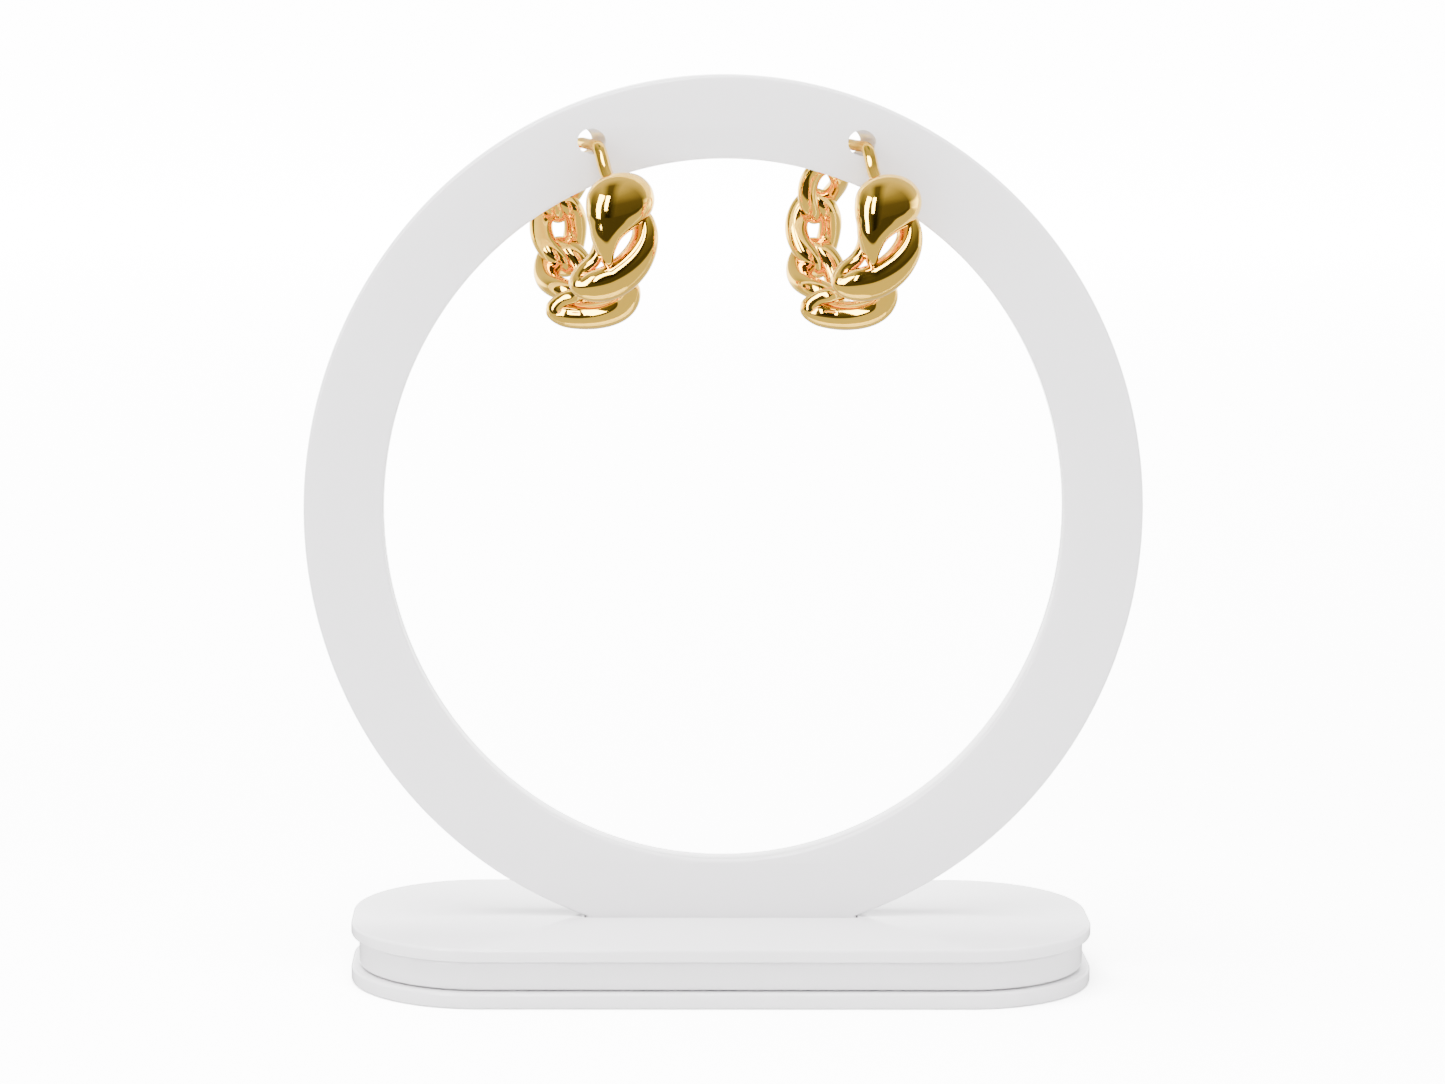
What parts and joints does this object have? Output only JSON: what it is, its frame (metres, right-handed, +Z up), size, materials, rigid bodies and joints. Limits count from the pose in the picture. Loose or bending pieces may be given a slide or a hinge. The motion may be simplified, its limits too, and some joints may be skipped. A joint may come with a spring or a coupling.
{
  "type": "pair of hoop earrings on a ring display stand",
  "caption": "Chunky gold curb-chain hoop earrings with bent ear bars, hung through the holes of an upright white acrylic ring on a layered stadium-shaped base.",
  "frame": {"origin": "middle of the base's underside, where the stand rests", "axes": "+Z up, +X to the right as seen from the front, -Y out of the front, towards the viewer"},
  "size_m": [0.105, 0.039, 0.1137],
  "materials": {
    "acrylic": "gloss",
    "gold": "polished"
  },
  "bodies": {
    "root": {"ring_plate": "acrylic", "base_top_plate": "acrylic", "base_core": "acrylic", "base_foot_plate": "acrylic", "left_hoop": "gold", "left_ear_bar": "gold", "right_hoop": "gold", "right_ear_bar": "gold"}
  },
  "joints": []
}
